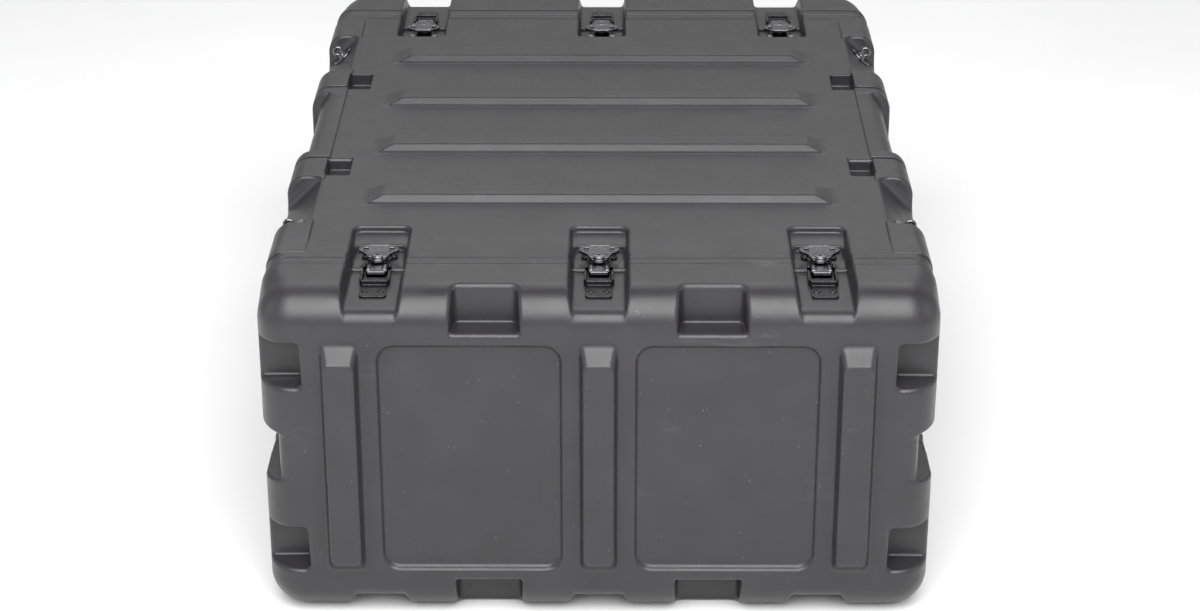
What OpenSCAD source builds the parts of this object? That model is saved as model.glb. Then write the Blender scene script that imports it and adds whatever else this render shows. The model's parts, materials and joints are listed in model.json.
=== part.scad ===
// Moulded equipment rack case with a shock-mounted 19-inch frame and two lift-off lids.
// +Z up, front lid towards -Y, origin at the middle of the footprint on the floor.

/* [Case] */
// Width across the side walls
case_w = 622; // [600:1:660]
// Height from the bottom skids to the top edge strips
case_h = 335; // [325:1:380]
// Length of the body between the two lid joints
body_l = 704; // [690:1:760]
// Depth of each lid from the joint to its flat face
lid_d = 88; // [80:1:110]
// Wall thickness of the moulded shells
wall = 6; // [5:0.5:7]
// Radius of the long edges of the body
body_r = 22; // [18:1:26]
// Radius of the outer edges of each lid
lid_r = 34; // [28:1:38]
// Step from the edge strips down to the centre panel
strip_h = 3; // [1:0.5:4]
// Half width of the lowered centre panel
strip_x = 273; // [266:1:277]
// Length of the separate end rims
rim_l = 14; // [10:1:18]

/* [Top ribs] */
// Spacing of the four stacking ribs
rib_pitch = 135; // [120:1:140]
// Height of the stacking ribs
rib_h = 8; // [5:1:10]
// Length of a rib from tip to tip
rib_len = 458; // [420:1:470]
// Width of a rib at its foot
rib_w = 40; // [36:1:46]
// Run of the ramp at each end of a rib
rib_ramp = 19; // [10:1:24]

/* [Lid face] */
// How far the three bumper ribs stand proud of the lid
bump_h = 14; // [8:1:16]
// Distance of the outer bumper ribs from the middle
bump_x = 235; // [228:1:240]
// Width of a bumper rib at its foot
bump_w = 34.5; // [30:0.5:36]
// Depth of the two flat panels
panel_d = 5.5; // [3:0.5:7]

/* [Latches] */
// Distance of the outer latches from the middle
latch_x = 206; // [195:1:212]
// Width of a latch channel at its mouth
chan_w = 55; // [54:1:60]
// Depth of a latch channel
chan_d = 16; // [15:0.5:18]
// Distance of the latch spindle from the lid joint
latch_u = 18; // [17:0.5:20]
// Radius of the latch spindle
spin_r = 3; // [2.5:0.1:3.5]

/* [Rack frame] */
// Number of rack units
units = 4; // [4:1:4]
// Distance between the front and rear rail faces
rack_depth = 610; // [600:1:620]
// Clear width between the rails
rack_open = 451; // [450:0.5:452]
// Distance across between rail hole centres
hole_pitch = 465.1; // [465.1:0.1:465.2]
// Radius of a rail hole
hole_r = 2.5; // [2.2:0.1:3.2]

/* [Hidden] */
$fn = 48;
hw = case_w/2;               // half width
zc = case_h/2;               // middle height
ztop = case_h - strip_h;     // top of the centre panel
yj = body_l/2;               // lid joint
ys = yj - rim_l;             // end of the moulded shell
yf = yj + lid_d;             // flat face of a lid
gap = 0.3;                   // clearance between a lid and the rim
lid_h = case_h - strip_h;    // height of a lid
zfloor = ztop - chan_d;      // floor of a top latch channel
xfloor = hw - chan_d;        // floor of a side latch channel
chan_y = yj - 78;            // inner end of a latch channel
ysc0 = 156; ysc1 = 270;      // side scoops
yin = 85;                    // middle inset
inset = 10;
cham = strip_x + case_h;     // scoop plane: |x| + z
U = 44.45;
zr0 = zc - units*U/2;        // bottom of the rack opening
yr = rack_depth/2;
xr = rack_open/2;
xs1 = xr + 20;               // outer face of the rails
xp = xs1 + 3;                // outer face of the frame sides
frame_h = units*U + 14;
hx = hw - 15;                // handle pivot
hz = 250;
hy = 213;
black = [0.07, 0.07, 0.075];
shellc = [0.30, 0.29, 0.30];

// flat rounded rectangle
module rr2(w, h, r) {
  square([w - 2*r, h], center = true);
  square([w, h - 2*r], center = true);
  for (i = [-1, 1], j = [-1, 1]) translate([i*(w/2 - r), j*(h/2 - r)]) circle(r);
}
// sweep a flat XZ outline along Y from y0 to y1
module along_y(y0, y1) translate([0, y1, 0]) rotate([90, 0, 0]) linear_extrude(y1 - y0) children();
// sweep a flat YZ outline along X from x0 to x1
module along_x(x0, x1) translate([x0, 0, 0]) rotate([90, 0, 90]) linear_extrude(x1 - x0) children();
module box(a, b) translate(a) cube([b[0]-a[0], b[1]-a[1], b[2]-a[2]]);
// four quarters about the two vertical middle planes
module quarters() for (a = [0, 1], b = [0, 1]) mirror([a, 0, 0]) mirror([0, b, 0]) children();
// both ends
module ends() { children(); rotate([0, 0, 180]) children(); }
// outline of a latch channel in XZ, grown by g
module chan2(g, depth) polygon([[-chan_w/2 - g, depth + 12], [-chan_w/2 - g, 0], [-chan_w/2 + 3 - g, -chan_d - g], [chan_w/2 - 3 + g, -chan_d - g], [chan_w/2 + g, 0], [chan_w/2 + g, depth + 12]]);
// all eight channel outlines in the XZ plane
module chans2(g) {
  for (x = [-latch_x, 0, latch_x]) { translate([x, ztop]) chan2(g, 6); translate([x, strip_h]) mirror([0, 1]) chan2(g, 6); }
  for (s = [-1, 1]) translate([s*hw, zc]) rotate(-90*s) chan2(g, 6);
}
// outer and inner sections of the body
module sec_outer(g) {
  difference() {
    translate([0, zc]) rr2(case_w - 2*g, case_h - 2*g, body_r - g);
    translate([-strip_x, ztop - g]) square([2*strip_x, 20]);
    translate([-strip_x, strip_h + g - 20]) square([2*strip_x, 20]);
  }
}
module sec_inner() difference() { translate([0, zc]) rr2(case_w - 2*wall, lid_h - strip_h - 2*wall, body_r - wall); }
module sec_rim(g) difference() { sec_outer(g); chans2(g); difference() { sec_inner(); chans2(wall); } }

// one latch channel with its stepped inner end, top front, cut along Y
module channel_cut() intersection() {
  along_y(-yj - 5, -chan_y + 10) translate([0, ztop]) chan2(0, 6);
  along_x(-40, 40) polygon([[-yj - 4, ztop + 15], [-yj - 4, ztop - chan_d], [-chan_y - 24, ztop - chan_d], [-chan_y - 24, ztop - 10.5], [-chan_y - 4, ztop - 7], [-chan_y, ztop], [-chan_y, ztop + 15]]);
}
module channel_back() along_y(-ys - 1, -chan_y + wall) translate([0, ztop]) chan2(wall, 6);
// places something made for the top centre latch at all eight places of one end
module eight() {
  for (x = [-latch_x, 0, latch_x]) translate([x, 0, 0]) { children(); translate([0, 0, zc]) rotate([0, 180, 0]) translate([0, 0, -zc]) children(); }
  for (s = [-1, 1]) translate([s*(hw - ztop + zc)*0, 0, zc]) rotate([0, 90*s, 0]) translate([0, 0, hw - ztop]) children();
}
// one stacking rib, g larger all round: steep long sides and a gentle ramp at each end
module top_rib(g) intersection() {
  along_x(-rib_len/2 - 5, rib_len/2 + 5) polygon([[-rib_w/2 - g, -4], [-rib_w/2 - g, 0], [-rib_w/2 + rib_h - g, rib_h + g], [rib_w/2 - rib_h + g, rib_h + g], [rib_w/2 + g, 0], [rib_w/2 + g, -4]]);
  along_y(-rib_w/2 - 5, rib_w/2 + 5) polygon([[-rib_len/2 - g, -4], [-rib_len/2 - g, 0], [-rib_len/2 + rib_ramp - g, rib_h + g], [rib_len/2 - rib_ramp + g, rib_h + g], [rib_len/2 + g, 0], [rib_len/2 + g, -4]]);
}
module scoop_cut() along_y(ysc0, ysc1) polygon([[cham - case_h - 4, case_h + 4], [hw + 30, case_h + 4], [hw + 30, cham - hw - 30]]);
module scoop_back() along_y(ysc0 - wall, ysc1 + wall) polygon([[cham - case_h - wall*1.4 - 6, case_h + 6], [hw + 30, case_h + 6], [hw + 30, cham - hw - 30 - wall*1.4]]);
module handle_pocket(g) box([hw - 26 - g, hy - 50 - g, 125 - g], [hw + 20, hy + 50 + g, 272 + g]);

module body_shell() color(shellc) difference() {
  union() {
    along_y(-ys, ys) sec_outer(0);
    for (k = [-1.5:1:1.5]) translate([0, k*rib_pitch, ztop]) top_rib(0);
  }
  // hollow inside, kept off the back of every recess
  difference() {
    along_y(-ys - 1, ys + 1) sec_inner();
    ends() eight() channel_back();
    quarters() {
      scoop_back();
      handle_pocket(wall);
      box([hw - inset - wall, -1, -1], [hw + 5, yin + wall, case_h + 1]);
      for (z = [0, 1]) translate([0, 0, zc]) mirror([0, 0, z]) translate([0, 0, -zc]) box([244, 95, ztop - 20], [280, 153, case_h]);
    }
    for (k = [-1.5:1:1.5]) translate([-rib_len/2 - 6, k*rib_pitch - rib_w/2 - 6, 0]) cube([rib_len + 12, rib_w + 12, strip_h + rib_h + 7]);
  }
  ends() eight() channel_cut();
  quarters() {
    scoop_cut();
    handle_pocket(0);
    // pockets beside the strap grooves
    for (z = [0, 1]) translate([0, 0, zc]) mirror([0, 0, z]) translate([0, 0, -zc]) box([250, 101, ztop - 14], [274, 147, case_h + 2]);
  }
  // middle of each side set in
  along_y(-yin, yin) difference() {
    translate([0, zc]) square([case_w + 20, case_h + 20], center = true);
    translate([0, zc]) rr2(case_w - 2*inset, case_h, body_r);
    translate([-strip_x, -20]) square([2*strip_x, case_h + 40]);
  }
  // strap grooves running round the corners
  for (s = [-1, 1]) along_y(s*103 - 3, s*103 + 3) difference() {
    translate([0, zc]) square([case_w + 20, case_h + 20], center = true);
    translate([0, zc]) rr2(case_w - 6, case_h - 2*strip_h - 5, body_r - 3);
    translate([-250, -20]) square([500, case_h + 40]);
  }
  // channels underneath that drop over the ribs of the case below
  for (k = [-1.5:1:1.5]) translate([0, k*rib_pitch, strip_h]) top_rib(1);
}

module end_rim() {
  along_y(-yj, -ys) sec_rim(0.6);
  // tongue that enters the lid
  along_y(-yj - 6, -yj) difference() {
    translate([0, zc]) rr2(case_w - 2*wall - 48, lid_h - 2*wall - 52, 12);
    translate([0, zc]) rr2(case_w - 2*wall - 54, lid_h - 2*wall - 58, 9);
  }
  // web between the tongue and the rim
  along_y(-ys - 3, -ys) difference() {
    difference() { sec_inner(); chans2(wall); }
    translate([0, zc]) rr2(case_w - 2*wall - 54, lid_h - 2*wall - 58, 9);
  }
  along_y(-yj, -ys - 3) difference() {
    translate([0, zc]) rr2(case_w - 2*wall - 48, lid_h - 2*wall - 52, 12);
    translate([0, zc]) rr2(case_w - 2*wall - 54, lid_h - 2*wall - 58, 9);
  }
}
module front_rim() color([0.2, 0.2, 0.21]) end_rim();
module rear_rim() color([0.2, 0.2, 0.21]) rotate([0, 0, 180]) end_rim();

// one front rail for the right side: face at y = -yr, holes through it
module rail() difference() {
  union() {
    box([xr, -yr, zc - frame_h/2], [xs1, -yr + 2.5, zc + frame_h/2]);
    box([xs1 - 2.5, -yr, zc - frame_h/2], [xs1, -yr + 32, zc + frame_h/2]);
  }
  for (u = [0:units - 1], h = [6.35, 22.225, 38.1])
    translate([hole_pitch/2, -yr - 1, zr0 + u*U + h]) rotate([-90, 0, 0]) cylinder(r = hole_r, h = 5);
}
module front_right_rail() color(black) rail();
module front_left_rail() color(black) mirror([1, 0, 0]) rail();
module rear_right_rail() color(black) mirror([0, 1, 0]) rail();
module rear_left_rail() color(black) mirror([1, 0, 0]) mirror([0, 1, 0]) rail();

mz = [zc - 78, zc + 78];
my = 130;
// one side of the frame: two long channels, three uprights
module frame_side() difference() {
  union() {
    for (z = [zc - frame_h/2, zc + frame_h/2 - 34]) box([xs1, -yr + 2, z], [xp, yr - 2, z + 34]);
    for (y = [-yr + 2, -20, yr - 42]) box([xs1, y, zc - frame_h/2 + 34], [xp, y + 40, zc + frame_h/2 - 34]);
    for (s = [0, 1]) translate([0, 0, zc]) mirror([0, 0, s]) box([xs1 - 14, -yr + 34, frame_h/2 - 3], [xs1, yr - 34, frame_h/2]);
  }
  for (y = [-my, my], z = mz) translate([xs1 - 1, y, z]) rotate([0, 90, 0]) cylinder(r = 4.2, h = 6);
}
module frame_side_right() color(black) frame_side();
module frame_side_left() color(black) mirror([1, 0, 0]) frame_side();
module frame_cross_bars() color(black) for (y = [-yr + 50, yr - 80], s = [0, 1])
  translate([0, 0, zc]) mirror([0, 0, s]) box([-xs1 + 1, y, frame_h/2], [xs1 - 1, y + 30, frame_h/2 + 3]);

// waisted rubber mount with a steel washer at each end, along +X from the frame to the wall
module shock_mount() rotate([0, 90, 0]) difference() {
  rotate_extrude() polygon([[0, 0], [22, 0], [22, 3], [20, 6], [15, 20], [14, 29], [15, 38], [20, hw - wall - xp - 6], [22, hw - wall - xp - 3], [22, hw - wall - xp], [0, hw - wall - xp]]);
  translate([0, 0, -1]) cylinder(r = 4.2, h = 31);
}
module shock_mounts() color([0.09, 0.09, 0.09]) for (s = [0, 1], y = [-my, my], z = mz) mirror([s, 0, 0]) translate([xp, y, z]) shock_mount();
module shock_mount_bolts() color("silver") for (s = [0, 1], y = [-my, my], z = mz) mirror([s, 0, 0]) translate([xs1, y, z]) rotate([0, 90, 0]) {
  cylinder(r = 4, h = 28);
  translate([0, 0, -4.5]) cylinder(r = 6.5, h = 4.5);
}

// ---- latch pieces, all drawn at the top centre of the front end, in local u (towards the middle), w (up) ----
module lplace() translate([0, -yj + latch_u, zfloor]) children();
module latch_base() lplace() {
  difference() {
    union() {
      box([-17, -12, 0], [17, 30, 2.5]);
      for (s = [-1, 1]) box([s*11.8 - 1.4, -14, 2.5], [s*11.8 + 1.4, -7, 6.6]);
    }
    for (s = [-1, 1]) translate([s*12, 22, -1]) cylinder(r = 2.1, h = 6);
  }
  translate([0, 0, 2.5]) cylinder(r = spin_r, h = 8.4);
}
module latch_rivet() lplace() for (s = [-1, 1]) translate([s*12, 22, 0]) { cylinder(r = 2, h = 2.6); translate([0, 0, 2.5]) cylinder(r = 3.6, h = 1.4); }
module wing() lplace() difference() {
  union() {
    translate([0, 0, 6.9]) cylinder(r = 8.6, h = 2.2);
    translate([0, 0, 9]) linear_extrude(2.4) polygon([[-9.5, -5], [-10.5, 2], [-19, 11], [-19, 16.5], [-9.5, 23.8], [9.5, 23.8], [19, 16.5], [19, 11], [10.5, 2], [9.5, -5]]);
    translate([0, 0, 9]) cylinder(r = 7.4, h = 3.4);
  }
  translate([0, 0, 6]) cylinder(r = spin_r + 0.06, h = 5.2);
  for (s = [-1, 1]) box([s*12 - 2.3, 8.6, 8], [s*12 + 2.3, 18, 14]);
  box([-3.4, -0.9, 11.6], [3.4, 0.9, 13]);
}
module claw() lplace() {
  box([-10, -24, 3], [10, -4.6, 5.6]);
  box([-8.5, -27.2, 3], [8.5, -24, 6.4]);
  for (s = [-1, 1]) box([s*7.4 - 2, -22, 5.6], [s*7.4 + 2, -8.6, 6.6]);
}
module keeper() lplace() {
  difference() {
    box([-12.5, -72, 0], [12.5, -21, 2]);
    for (s = [-1, 1]) translate([s*7.5, -60, -1]) cylinder(r = 2.1, h = 4);
  }
  for (s = [-1, 1]) box([s*12.6 - 1.4, -44, 0], [s*12.6 + 1.4, -22, 6.6]);
  box([-9, -47, 2], [9, -44.2, 6.2]);
  for (s = [-1, 1]) translate([s*7.5, -60, 0]) { cylinder(r = 2.1, h = 2); translate([0, 0, 2]) cylinder(r = 3.4, h = 1.3); }
}
// puts a piece drawn at the top centre at place i of one end: 0-2 top, 3-5 bottom, 6-7 sides (seen from that end)
module at_place(i, e) rotate([0, 0, 180*e]) {
  if (i < 3) translate([(i - 1)*latch_x, 0, 0]) children();
  else if (i < 6) translate([(i - 4)*latch_x, 0, zc]) rotate([0, 180, 0]) translate([0, 0, -zc]) children();
  else translate([0, 0, zc]) rotate([0, i == 6 ? -90 : 90, 0]) translate([0, 0, hw - ztop]) children();
}
module latch_bases() color(black) for (e = [0, 1], i = [0:7]) at_place(i, e) latch_base();
module latch_rivets() color("silver") for (e = [0, 1], i = [0:7]) at_place(i, e) latch_rivet();

// ---- lids ----
// points of a quarter round about [x, y], from angle a0 on, in eight chords
function quarter(x, y, r, a0) = [for (i = [0:8]) [x + r*cos(a0 + i*11.25), y + r*sin(a0 + i*11.25)]];
// outline of a lid seen from the side or from above: depth d, width w, with both outer corners rounded
function lid_outline(d, w, r) = concat([[d + 1, 0]], [[d + 1, w]], quarter(r, w - r, r, 90), quarter(r, r, r, 180));
module lid_solid(g) intersection() {
  along_y(-yf + g, -yj - gap) translate([0, zc]) rr2(case_w - 2*g, lid_h - 2*g, body_r - g);
  along_x(-hw, hw) translate([-yf + g, strip_h/2 + g]) polygon(lid_outline(lid_d - g, lid_h - 2*g, lid_r - g));
  translate([0, 0, -5]) linear_extrude(case_h + 10) translate([-hw + g, -yf + g]) mirror([1, -1]) polygon(lid_outline(lid_d - g, case_w - 2*g, lid_r - g));
}
module bumper() intersection() {
  along_x(-30, 30) polygon([[-yf + 2, 51], [-yf, 51], [-yf - bump_h, 51 + bump_h], [-yf - bump_h, 284 - bump_h], [-yf, 284], [-yf + 2, 284]]);
  linear_extrude(case_h) polygon([[-bump_w/2, -yf + 2], [-bump_w/2, -yf], [-bump_w/2 + 3.2, -yf - bump_h], [bump_w/2 - 3.2, -yf - bump_h], [bump_w/2, -yf], [bump_w/2, -yf + 2]]);
}
fp = 27;   // run of a finger pocket
module finger_cuts(g) {
  // top and bottom edges
  for (x = [-103, 103], s = [0, 1]) translate([x, 0, zc]) mirror([0, 0, s]) box([-31.5 - g, -yf - 1, lid_h/2 - 38 - g], [31.5 + g, -yf + fp + g, lid_h/2 + 10]);
  // side edges
  for (a = [0, 1], s = [0, 1]) mirror([a, 0, 0]) translate([0, 0, zc]) mirror([0, 0, s]) box([hw - 40 - g, -yf - 1, 73 - g], [hw + 10, -yf + fp + g, 117 + g]);
}
module lid() difference() {
  union() {
    lid_solid(0);
    for (x = [-bump_x, 0, bump_x]) translate([x, 0, 0]) bumper();
  }
  difference() {
    union() { lid_solid(wall); along_y(-yj - 20, -yj + 1) translate([0, zc]) rr2(case_w - 2*wall, lid_h - 2*wall, body_r - wall); }
    along_y(-yf, -yj) chans2(wall);
    finger_cuts(wall);
    for (s = [0, 1]) mirror([s, 0, 0]) box([26, -yf, 44], [210, -yf + wall + panel_d, 291]);
  }
  along_y(-yf - 5, -yj + 5) chans2(0);
  finger_cuts(0);
  for (s = [0, 1]) mirror([s, 0, 0]) along_y(-yf - 5, -yf + panel_d) translate([117.6, zc]) rr2(169, 233, 16);
}
module gasket() along_y(-yj - 9, -yj - 6.8) difference() {
  translate([0, zc]) rr2(case_w - 2*wall - 42, lid_h - 2*wall - 46, 14);
  translate([0, zc]) rr2(case_w - 2*wall - 60, lid_h - 2*wall - 64, 8);
}
module front_lid() color(shellc) lid();
module rear_lid() color(shellc) rotate([0, 0, 180]) lid();
module front_gasket() color(black) gasket();
module rear_gasket() color(black) rotate([0, 0, 180]) gasket();
module front_keepers() color(black) for (i = [0:7]) at_place(i, 0) keeper();
module rear_keepers() color(black) for (i = [0:7]) at_place(i, 1) keeper();

// ---- tie-down eyes on the sloping scoops ----
module eye() {
  cylinder(r = 13, h = 2.5);
  translate([0, 0, 2.5]) cylinder(r = 4.2, h = 2);
  translate([0, 0, 9]) rotate([90, 0, 0]) rotate_extrude() translate([4.3, 0]) circle(1.9, $fn = 24);
  for (s = [-1, 1]) translate([0, s*8.8, 2.5]) cylinder(r = 2.4, h = 1.2);
}
module tie_down_eyes() color("dimgray") quarters() translate([(cham - 24)/2, 250, (cham + 24)/2]) rotate([0, 45, 0]) eye();

// ---- side handles ----
module handle_plate() translate([hw - 26, hy, hz]) {
  difference() {
    union() {
      box([0, -44, -42], [2.5, 44, 16]);
      for (s = [-1, 1]) box([2.5, s*37.5 - 2.5, -9], [18, s*37.5 + 2.5, 9]);
    }
    translate([11, 0, 0]) rotate([90, 0, 0]) cylinder(r = 4.08, h = 100, center = true);
    for (a = [-1, 1], z = [-34, 10]) translate([-1, a*28, z]) rotate([0, 90, 0]) cylinder(r = 2.6, h = 5);
  }
}
module handle_plates() color(black) quarters() handle_plate();
module handle_screw_set() translate([hw - 26, hy, hz]) for (a = [-1, 1], z = [-34, 10]) translate([0, a*28, z]) rotate([0, 90, 0]) {
  cylinder(r = 2.5, h = 2.6); translate([0, 0, 2.5]) cylinder(r = 4.6, h = 1.8);
}
module handle_screws() color("silver") quarters() handle_screw_set();
module handle() translate([hx, hy, hz]) {
  rotate([90, 0, 0]) cylinder(r = 4, h = 84, center = true);
  for (s = [-1, 1]) translate([0, s*30, 0]) { translate([0, 0, -84]) cylinder(r = 4, h = 84); sphere(4); translate([0, 0, -84]) sphere(4); }
  translate([0, 0, -84]) rotate([90, 0, 0]) cylinder(r = 4, h = 60, center = true);
  translate([0, 0, -84]) rotate([90, 0, 0]) cylinder(r = 9.5, h = 52, center = true);
}
module handle_rear_right() color(black) handle();
module handle_rear_left() color(black) mirror([1, 0, 0]) handle();
module handle_front_right() color(black) mirror([0, 1, 0]) handle();
module handle_front_left() color(black) mirror([1, 0, 0]) mirror([0, 1, 0]) handle();

body_shell();
front_rim();
rear_rim();
front_left_rail();
front_right_rail();
rear_left_rail();
rear_right_rail();
frame_side_left();
frame_side_right();
frame_cross_bars();
shock_mounts();
shock_mount_bolts();
latch_bases();
latch_rivets();
tie_down_eyes();
handle_plates();
handle_screws();
handle_front_left();
handle_front_right();
handle_rear_left();
handle_rear_right();
front_lid();
front_gasket();
front_keepers();
rear_lid();
rear_gasket();
rear_keepers();
// rear places are named as seen from the front, so left and right swap when the end is turned round
color(black) at_place(0, 0) wing();  // wing_front_top_left
color(black) at_place(1, 0) wing();  // wing_front_top_centre
color(black) at_place(2, 0) wing();  // wing_front_top_right
color(black) at_place(3, 0) wing();  // wing_front_bottom_left
color(black) at_place(4, 0) wing();  // wing_front_bottom_centre
color(black) at_place(5, 0) wing();  // wing_front_bottom_right
color(black) at_place(6, 0) wing();  // wing_front_side_left
color(black) at_place(7, 0) wing();  // wing_front_side_right
color(black) at_place(2, 1) wing();  // wing_rear_top_left
color(black) at_place(1, 1) wing();  // wing_rear_top_centre
color(black) at_place(0, 1) wing();  // wing_rear_top_right
color(black) at_place(5, 1) wing();  // wing_rear_bottom_left
color(black) at_place(4, 1) wing();  // wing_rear_bottom_centre
color(black) at_place(3, 1) wing();  // wing_rear_bottom_right
color(black) at_place(7, 1) wing();  // wing_rear_side_left
color(black) at_place(6, 1) wing();  // wing_rear_side_right
color(black) at_place(0, 0) claw();  // claw_front_top_left
color(black) at_place(1, 0) claw();  // claw_front_top_centre
color(black) at_place(2, 0) claw();  // claw_front_top_right
color(black) at_place(3, 0) claw();  // claw_front_bottom_left
color(black) at_place(4, 0) claw();  // claw_front_bottom_centre
color(black) at_place(5, 0) claw();  // claw_front_bottom_right
color(black) at_place(6, 0) claw();  // claw_front_side_left
color(black) at_place(7, 0) claw();  // claw_front_side_right
color(black) at_place(2, 1) claw();  // claw_rear_top_left
color(black) at_place(1, 1) claw();  // claw_rear_top_centre
color(black) at_place(0, 1) claw();  // claw_rear_top_right
color(black) at_place(5, 1) claw();  // claw_rear_bottom_left
color(black) at_place(4, 1) claw();  // claw_rear_bottom_centre
color(black) at_place(3, 1) claw();  // claw_rear_bottom_right
color(black) at_place(7, 1) claw();  // claw_rear_side_left
color(black) at_place(6, 1) claw();  // claw_rear_side_right
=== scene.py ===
import bpy, math, json
import numpy as np
from mathutils import Vector, Matrix


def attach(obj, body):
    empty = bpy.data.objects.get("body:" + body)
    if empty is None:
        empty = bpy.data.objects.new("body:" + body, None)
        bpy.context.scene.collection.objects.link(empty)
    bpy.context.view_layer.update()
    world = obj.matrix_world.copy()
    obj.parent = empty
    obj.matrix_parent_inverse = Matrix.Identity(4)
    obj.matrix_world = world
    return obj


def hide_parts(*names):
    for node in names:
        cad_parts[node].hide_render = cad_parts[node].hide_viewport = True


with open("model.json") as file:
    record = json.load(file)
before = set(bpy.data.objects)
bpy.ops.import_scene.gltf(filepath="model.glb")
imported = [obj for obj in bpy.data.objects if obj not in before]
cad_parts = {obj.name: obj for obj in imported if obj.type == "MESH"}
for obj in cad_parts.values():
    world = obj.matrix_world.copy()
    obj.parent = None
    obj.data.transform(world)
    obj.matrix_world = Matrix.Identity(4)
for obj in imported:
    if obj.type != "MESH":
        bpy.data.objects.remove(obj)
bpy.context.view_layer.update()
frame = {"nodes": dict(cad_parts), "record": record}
NODES = frame["nodes"]
scene = bpy.context.scene

# ------------------------------------------------------------------ camera
cam_data = bpy.data.cameras.new("camera")
cam = bpy.data.objects.new("camera", cam_data)
scene.collection.objects.link(cam)
CAM = dict(x=0.0110, y=-2.5970, z=1.3220, down=0.4330, yaw=-0.0045, roll=0.0, f=2655.0)
fw = Vector((math.sin(CAM["yaw"]) * math.cos(CAM["down"]), math.cos(CAM["yaw"]) * math.cos(CAM["down"]), -math.sin(CAM["down"])))
cam.location = (CAM["x"], CAM["y"], CAM["z"])
cam.rotation_mode = "QUATERNION"
cam.rotation_quaternion = fw.to_track_quat("-Z", "Y")
cam_data.sensor_fit = "HORIZONTAL"
cam_data.sensor_width = 36.0
cam_data.lens = CAM["f"] / 1200.0 * 36.0
cam_data.clip_start, cam_data.clip_end = 0.05, 50.0
scene.camera = cam


# ------------------------------------------------------------------ distance fields, in millimetres
def rmax(a, b, r):
    return np.minimum(np.maximum(a, b), -r) + np.sqrt(np.maximum(a + r, 0) ** 2 + np.maximum(b + r, 0) ** 2)


def rmin(a, b, r):
    return -rmax(-a, -b, r)


def box2(u, v, hu, hv, r):
    qu, qv = np.abs(u) - hu + r, np.abs(v) - hv + r
    return np.minimum(np.maximum(qu, qv), 0) + np.sqrt(np.maximum(qu, 0) ** 2 + np.maximum(qv, 0) ** 2) - r


def smooth(t, a, b):
    t = np.clip((t - a) / (b - a), 0, 1)
    return t * t * (3 - 2 * t)


def slab(t, a, b):
    return np.maximum(a - t, t - b)


class Solid:
    """A base field and a list of local changes, each with the box that it acts in."""

    def __init__(self, base):
        self.base, self.ops = base, []

    def _op(self, kind, box, f, r):
        m = 11.0 + r
        b = [(-1e9, 1e9) if c is None else (c[0] - m, c[1] + m) for c in box]
        self.ops.append((kind, b, f, r))

    def cut(self, box, f, r=1.0):
        self._op("cut", box, f, r)

    def add(self, box, f, r=1.0):
        self._op("add", box, f, r)

    def grid(self, xs, ys, zs):
        F = (self.base(xs[:, None, None], ys[None, :, None], zs[None, None, :]) + 0 * (xs[:, None, None] + ys[None, :, None] + zs[None, None, :])).astype(np.float32)
        for kind, b, f, r in self.ops:
            i = [np.searchsorted(c, b[k][0]) for k, c in enumerate((xs, ys, zs))]
            j = [np.searchsorted(c, b[k][1]) for k, c in enumerate((xs, ys, zs))]
            if any(p >= q for p, q in zip(i, j)):
                continue
            s = tuple(slice(p, q) for p, q in zip(i, j))
            g = f(xs[s[0]][:, None, None], ys[s[1]][None, :, None], zs[s[2]][None, None, :])
            F[s] = rmax(F[s], -g, r) if kind == "cut" else rmin(F[s], g, r)
        return F

    def at(self, p):
        x, y, z = p[:, 0], p[:, 1], p[:, 2]
        F = self.base(x, y, z) + 0 * x
        for kind, b, f, r in self.ops:
            m = (x > b[0][0]) & (x < b[0][1]) & (y > b[1][0]) & (y < b[1][1]) & (z > b[2][0]) & (z < b[2][1])
            k = np.nonzero(m)[0]
            if len(k) == 0:
                continue
            g = f(x[k], y[k], z[k])
            F[k] = rmax(F[k], -g, r) if kind == "cut" else rmin(F[k], g, r)
        return F

    def slope(self, p, h=0.05):
        out = np.zeros(p.shape)
        for k in range(3):
            d = np.zeros(3)
            d[k] = h
            out[:, k] = (self.at(p + d) - self.at(p - d)) / (2 * h)
        return out


def lines(a, b, zones, coarse, mirror=False, grow=0.45):
    """Grid lines from a to b, fine inside the zones (start, end, step) and growing away from them."""
    def h(s):
        v = coarse
        for z0, z1, st in zones:
            v = min(v, st + grow * max(0.0, z0 - s, s - z1))
        return v
    out, s = [], a
    if mirror:
        st = h(a)
        out = [a - st / 2, a + st / 2]
        s = a + st / 2
    else:
        out = [a]
    while s < b:
        st = h(s)
        st = h(s + st / 2)
        s += st
        out.append(s)
    return np.array(out)


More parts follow.
